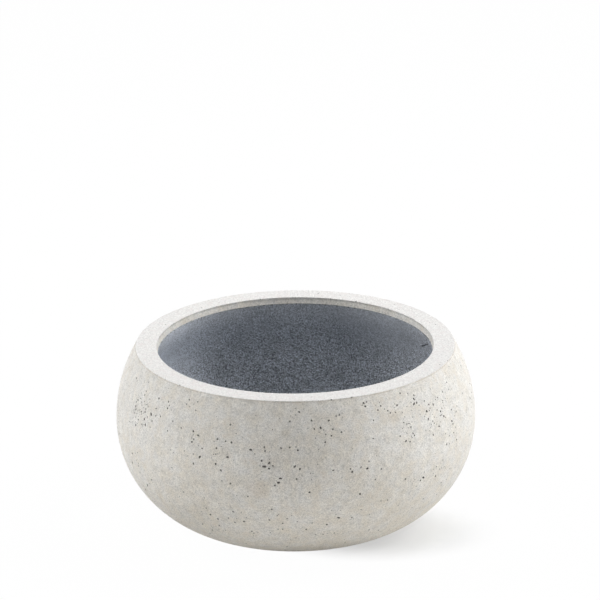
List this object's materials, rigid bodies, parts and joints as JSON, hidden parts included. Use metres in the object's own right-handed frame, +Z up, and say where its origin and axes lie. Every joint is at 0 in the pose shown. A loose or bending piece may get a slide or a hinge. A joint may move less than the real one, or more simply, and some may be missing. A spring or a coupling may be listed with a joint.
{
  "type": "bowl planter",
  "caption": "Squat round concrete bowl planter with a flat lip, a dark waterproof lining let in under the lip and a lift-out drain plug in its floor.",
  "frame": {"origin": "on the ground, on the bowl's axis", "axes": "+Z up along the bowl's axis, -Y towards the viewer of the picture"},
  "size_m": [0.5, 0.5, 0.258],
  "materials": {
    "concrete": "antique white cast concrete with bug holes, rough",
    "lining": "slate grey gritty coating, matt",
    "plug_rubber": "black rubber, satin"
  },
  "bodies": {
    "bowl": {"concrete_shell": "concrete", "inner_liner": "lining"},
    "plug": {"drain_plug": "plug_rubber"}
  },
  "joints": [
    {"name": "plug_lift", "type": "slide", "parent": "bowl", "child": "plug", "axis": [0, 0, 1], "range_m": [0, 0.3]}
  ]
}
